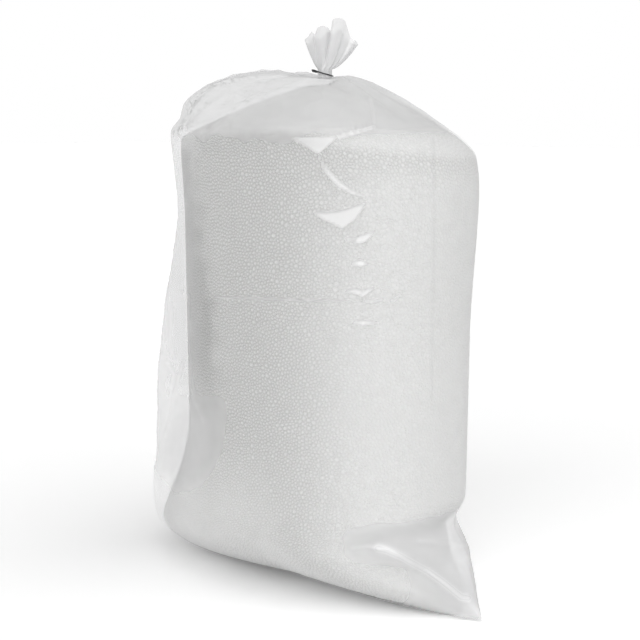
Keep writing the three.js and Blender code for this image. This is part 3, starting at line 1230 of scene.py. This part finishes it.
@dataclass
class FilmBag:
    """The film: one sheet from the base up to the mouth."""

    form: BagForm
    view: Viewpoint
    finish: bpy.types.Material
    haze: FilmHaze = FilmHaze()
    painted_shade: PaintedFilmShade = PaintedFilmShade()
    columns: int = 300
    base_haze: float = 0.3
    dullness: float = 0.5
    pucker_dullness: float = 0.12
    ruffle_dullness: float = 0.3
    crumple: float = 2.4
    fine_crumple: float = 0.9
    flat: tuple[float, float] = (0.68, 1.2)  # the tube laid flat

    def angles(self) -> np.ndarray:
        """Angles round the axis, closer together at the folds and on the side that shows most.

        Returns:
            Rising angles in radians.
        """
        fine = np.linspace(0, FULL_TURN, 3601)
        degrees = np.degrees(fine)
        weight = 1 + 1.1 * bell(degrees, 314, 24)
        for fold in (0, 180, 360):
            weight += 1.4 * bell(degrees, fold, 12)
        share = np.concatenate([[0], np.cumsum((weight[1:] + weight[:-1]) / 2)])
        return np.interp(np.arange(self.columns) / self.columns, share / share[-1], fine)

    def ruffle(self, angle: np.ndarray, climb: float) -> np.ndarray:
        """Points of the loose film above the neck.

        Args:
            angle: Round the axis.
            climb: From 0 at the neck to 1 at the mouth.

        Returns:
            One point for each angle.
        """
        fan = self.view.azimuth
        mouth = np.array(RUFFLE_MOUTH, float)
        turn = (fan - angle) / FULL_TURN * len(mouth)
        index = np.floor(turn).astype(int)
        part = (turn - index)[..., None]
        before, start, end, after = (mouth[(index + k) % len(mouth)] for k in (-1, 0, 1, 2))
        top = 0.5 * (
            2 * start
            + (end - before) * part
            + (2 * before - 5 * start + 4 * end - after) * part**2
            + (3 * start - before - 3 * end + after) * part**3
        )
        points = self.form.neck(angle, self.form.neck_top)
        c, s = math.cos(fan), math.sin(fan)
        aside, depth, rise = np.moveaxis(top, -1, 0)
        target = np.stack([aside * c + depth * s, aside * s - depth * c], axis=-1)
        points[..., :2] = lerp(points[..., :2], target, climb**0.65)
        points[..., 2] = self.form.neck_top + rise * climb
        return points

    def surface(self) -> tuple[np.ndarray, int]:
        """The smooth film.

        Returns:
            Its points, row by row from the base to the mouth, and how many rows come before the neck.
        """
        angle = self.angles()
        form = self.form
        edge = form.section(angle, 0.0)
        middle = np.array([0.0, float(form.seal_offset(0.0)) / 2, 0.0])
        rows = [lerp(middle, edge, share) for share in np.linspace(0, 1, 11)[1:]]
        spans = ((2, 12, 2), (12, 84, 4), (84, 140, 2), (140, 420, 6), (420, form.rim_height, 2.7))
        rows += [form.taut_section(angle, height) for span in spans for height in np.arange(*span)]
        rows += [form.shoulder(angle, climb) for climb in np.linspace(0, 1, 60)]
        body_rows = len(rows) - 4
        rows += [form.neck(angle, height) for height in np.linspace(form.neck_foot, form.neck_top, 7)[1:]]
        rows += [self.ruffle(angle, climb) for climb in np.linspace(0, 1, 31)[1:]]
        return np.stack(rows), body_rows

    def fold_film(self, parts: FilmParts) -> np.ndarray:
        """Lifts the folds and wrinkles out of the smooth film.

        Args:
            parts: The smooth film and its parts.

        Returns:
            The folded film.
        """
        facing = parts.facing
        lean = facing[..., 2] / np.maximum(np.linalg.norm(facing[..., :2], axis=-1), 1e-3)
        rise = np.linalg.norm(np.diff(parts.grid, axis=0, prepend=parts.grid[:1]), axis=-1)
        lift = sum(fold.lift(parts.spot, lean.clip(-1, 1), rise) for fold in parts.folds) * parts.squarely
        lift[parts.body_rows :] = 0
        lift[parts.height < 3] = 0
        folded = parts.grid + facing * (lift + self.wrinkles(parts))[..., None]
        folded[..., 2] = folded[..., 2].clip(0)
        return folded

    def wrinkles(self, parts: FilmParts) -> np.ndarray:
        """Crumples of the slack film: down the fin, in the ear and over the shoulder.

        Args:
            parts: The smooth film and its parts.

        Returns:
            Lifts in millimetres.
        """
        stretched = parts.grid * np.array([1, 1, 0.55])
        waves = (ripple(stretched, 42.0, 4.2), ripple(parts.grid, 19.0, 1.3))
        crumple, fine = ((1 - 2 * np.abs(wave)).clip(0) ** 2 for wave in waves)
        slack = np.maximum(np.maximum(parts.fin(), parts.ear()), parts.shoulder())
        slack = slack * lerp(0.3, 1.0, smoothstep(-parts.x, -90, 90))
        slack[parts.body_rows :] = 0
        slack[parts.height < 8] = 0
        swell = 0.5 * ripple(parts.grid, 60.0, 7.7).clip(0) * (parts.height > 30)
        return slack * (self.crumple * crumple + self.fine_crumple * fine) + swell

    def dull(self, parts: FilmParts) -> np.ndarray:
        """How rough the film is at each point: the taut puckers mirror the lamps most sharply.

        Args:
            parts: The film's parts.

        Returns:
            Roughness from 0 to 1.
        """
        dull = lerp(self.dullness, self.pucker_dullness, parts.glossy())
        dull[parts.body_rows :] = self.ruffle_dullness
        return dull

    def build(self) -> bpy.types.Object:
        """Builds the film and dresses it.

        Returns:
            The piece.
        """
        parts = FilmParts(*self.surface(), self.form, self.view)
        grid = self.fold_film(parts)
        count, around = grid.shape[:2]
        i, j = np.meshgrid(np.arange(count - 1), np.arange(around), indexing="ij")
        number = 1 + i * around
        ahead = (j + 1) % around
        quads = np.stack([number + j, number + ahead, number + around + ahead, number + around + j], axis=-1)
        points = np.concatenate([grid[0].mean(axis=0)[None], grid.reshape(-1, 3)])
        piece = mesh_piece("film", self.form.in_frame(points), quads.reshape(-1, 4))
        self.close_base(piece, around)
        point_values(piece, "haze", np.append(self.base_haze, self.haze.over(parts)))
        point_values(piece, "painted_shade", np.append(0.0, self.painted_shade.over(parts)))
        point_values(piece, "dull", np.append(self.dullness, self.dull(parts)))
        piece.data.materials.append(self.finish)
        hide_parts("film_bag")
        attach(piece, BODY)
        return piece

    @staticmethod
    def close_base(piece: bpy.types.Object, around: int) -> None:
        """Closes the middle of the base with a fan of triangles.

        Args:
            piece: The film, whose first point is the middle of the base.
            around: How many points each row has.
        """
        work = bmesh.new()
        work.from_mesh(piece.data)
        work.verts.ensure_lookup_table()
        for j in range(around):
            face = work.faces.new([work.verts[0], work.verts[1 + (j + 1) % around], work.verts[1 + j]])
            face.smooth = True
        work.to_mesh(piece.data)
        work.free()


@dataclass
class ClingingBeads:
    """Stray beads that cling inside the empty film of the shoulder."""

    form: BagForm
    finish: bpy.types.Material
    count: int = 1500
    patch_size: float = 40.0
    radius: tuple[float, float] = (0.8, 1.5)
    tones: tuple[float, float] = (0.93, 1.0)
    seed: int = 21

    def places(self, random: np.random.Generator) -> np.ndarray:
        """Centres of the beads, in patches, and most of them near the fill.

        Args:
            random: What the places are drawn from.

        Returns:
            One point for each bead.
        """
        angle = math.pi + random.normal(0, 0.8, self.count).clip(-1.6, 1.6)
        climb = random.beta(1.2, 2.0, self.count) * 0.8
        threshold = random.normal(0.16, 0.08, self.count)
        in_patch = ripple(self.form.shoulder(angle, climb), self.patch_size, 2.9) > threshold
        angle, climb = angle[in_patch], climb[in_patch]
        step = 0.01
        place = self.form.shoulder(angle, climb)
        aside = self.form.shoulder(angle + step, climb) - place
        facing = np.cross(aside, self.form.shoulder(angle, climb + step) - place)
        facing /= np.linalg.norm(facing, axis=1, keepdims=True)
        return place - facing * (self.radius[1] + 1.0)

    def build(self) -> bpy.types.Object:
        """Builds the stray beads as one piece.

        Returns:
            The piece.
        """
        random = np.random.default_rng(self.seed)
        bpy.ops.object.select_all(action="DESELECT")
        bpy.ops.mesh.primitive_ico_sphere_add(subdivisions=1, radius=1.0)
        ball = bpy.context.object
        corners = np.array([vertex.co for vertex in ball.data.vertices])
        sides = np.array([polygon.vertices for polygon in ball.data.polygons])
        bpy.ops.object.delete()
        places = self.places(random)
        sizes = random.uniform(*self.radius, len(places))
        points = places[:, None] + corners * sizes[:, None, None]
        faces = sides + len(corners) * np.arange(len(places))[:, None, None]
        points = self.form.in_frame(points.reshape(-1, 3))
        piece = mesh_piece("clinging_beads", points, faces.reshape(-1, 3))
        point_values(piece, "dome", np.ones(len(places) * len(corners)))
        tone = random.uniform(*self.tones, len(places))
        point_values(piece, "tone", np.repeat(tone, len(corners)))
        piece.data.materials.append(self.finish)
        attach(piece, BODY)
        return piece


@dataclass
class TwistTie:
    """The wire tie round the neck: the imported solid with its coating."""

    finish: bpy.types.Material

    def build(self, node: bpy.types.Object) -> bpy.types.Object:
        """Gives the tie its coating.

        Args:
            node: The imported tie.

        Returns:
            The same tie.
        """
        node.data.materials.clear()
        node.data.materials.append(self.finish)
        return node


@dataclass(frozen=True)
class SoftSun:
    """A broad even light from far away, which no gloss mirrors."""

    name: str
    azimuth: float
    elevation: float
    spread: float
    strength: float

    def make(self) -> bpy.types.Object:
        """Adds the light.

        Returns:
            The light.
        """
        rise, turn = math.radians(self.elevation), math.radians(self.azimuth)
        bpy.ops.object.light_add(type="SUN", rotation=(math.pi / 2 - rise, 0.0, turn))
        lamp = bpy.context.object
        lamp.name = self.name
        lamp.data.energy = self.strength
        lamp.data.angle = math.radians(self.spread)
        lamp.visible_glossy = False
        return lamp


@dataclass(frozen=True)
class Softbox:
    """A soft lamp that faces the bag and shows only in its gloss."""

    name: str
    azimuth: float
    elevation: float
    distance: float
    size: tuple[float, float]
    radiance: float
    aim: tuple[float, float, float] = (0.0, 0.0, 0.45)

    def make(self) -> bpy.types.Object:
        """Adds the lamp.

        Returns:
            The lamp.
        """
        turn, rise = math.radians(self.azimuth), math.radians(self.elevation)
        level = math.cos(rise)
        away = Vector((math.sin(turn) * level, -math.cos(turn) * level, math.sin(rise)))
        bpy.ops.object.light_add(
            type="AREA",
            location=Vector(self.aim) + self.distance * away,
            rotation=(math.pi / 2 - rise, 0.0, turn),
        )
        lamp = bpy.context.object
        lamp.name = self.name
        lamp.data.shape = "RECTANGLE"
        lamp.data.size, lamp.data.size_y = self.size
        lamp.data.energy = self.radiance * math.pi * self.size[0] * self.size[1]
        lamp.visible_diffuse = False
        return lamp


@dataclass
class Studio:
    """Floor, lamps and surroundings."""

    floor_size: float = 60.0
    floor_shown: float = 1.375
    floor_bounce: float = 1.12
    surround: float = 0.26
    mirrored: float = 0.6
    suns: tuple[SoftSun, ...] = (
        SoftSun("side_light", 90.0, 57.0, 66.0, 1.3),
        SoftSun("front_light", 11.0, 28.0, 60.0, 0.97),
    )
    front_box: Softbox = Softbox("front_softbox", 32.0, 28.0, 3.2, (5.0, 1.2), 2.1)

    def floor(self) -> bpy.types.Object:
        """Adds a white floor that keeps the bag's shadow.

        Returns:
            The floor.
        """
        bpy.ops.object.select_all(action="DESELECT")
        bpy.ops.mesh.primitive_plane_add(size=self.floor_size, location=(0, 0, 0))
        plane = bpy.context.object
        plane.name = "floor"
        nodes = Nodes("floor")
        shown = self.shown_rays(nodes.tree)
        colour = nodes.mix(shown, (self.floor_bounce,) * 3, (self.floor_shown,) * 3)
        nodes.join(colour, nodes.shader.inputs["Base Color"])
        nodes.shader.inputs["Roughness"].default_value = 1.0
        nodes.shader.inputs["Specular IOR Level"].default_value = 0.0
        plane.data.materials.append(nodes.material)
        return plane

    @staticmethod
    def shown_rays(tree: bpy.types.NodeTree) -> bpy.types.NodeSocket:
        """1 for rays that show what they hit, and 0 for rays that light something else.

        Args:
            tree: The nodes that it is added to.

        Returns:
            The number.
        """
        light = tree.nodes.new("ShaderNodeLightPath")
        either = tree.nodes.new("ShaderNodeMath")
        either.operation = "MAXIMUM"
        tree.links.new(light.outputs["Is Camera Ray"], either.inputs[0])
        tree.links.new(light.outputs["Is Transmission Ray"], either.inputs[1])
        return either.outputs[0]

    def world(self) -> None:
        """Sets a white surround that lights the bag less than it shows, in gloss too."""
        world = bpy.data.worlds.new("surround")
        bpy.context.scene.world = world
        world.use_nodes = True
        tree = world.node_tree
        ground = tree.nodes["Background"]
        gloss = tree.nodes.new("ShaderNodeMix")
        gloss.inputs["A"].default_value = self.surround
        gloss.inputs["B"].default_value = self.mirrored
        rays = tree.nodes.new("ShaderNodeLightPath")
        tree.links.new(rays.outputs["Is Glossy Ray"], gloss.inputs["Factor"])
        mix = tree.nodes.new("ShaderNodeMix")
        tree.links.new(gloss.outputs["Result"], mix.inputs["A"])
        mix.inputs["B"].default_value = 1.0
        tree.links.new(self.shown_rays(tree), mix.inputs["Factor"])
        tree.links.new(mix.outputs["Result"], ground.inputs["Strength"])
        ground.inputs["Color"].default_value = (1, 1, 1, 1)

    def build(self) -> None:
        """Sets the stage."""
        self.floor()
        for lamp in (*self.suns, self.front_box):
            lamp.make()
        self.world()
        bpy.context.scene.view_settings.view_transform = "Standard"


def main() -> None:
    """Builds the bag's pieces in order and reports each."""
    logging.basicConfig(level=logging.INFO, format="%(name)s: %(message)s")
    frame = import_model()
    bpy.ops.object.select_all(action="DESELECT")
    form = BagForm()
    view = Viewpoint()
    view.make()
    foam = BeadFinish().material()
    pieces = (
        BeadFill(form, foam).build(),
        ClingingBeads(form, foam).build(),
        FilmBag(form, view, FilmFinish().material()).build(),
        TwistTie(TieFinish().material()).build(frame["nodes"]["twist_tie"]),
    )
    for piece in pieces:
        LOG.info("%s: %d faces", piece.name, len(piece.data.polygons))
    Studio().build()


if __name__ == "__main__":
    main()
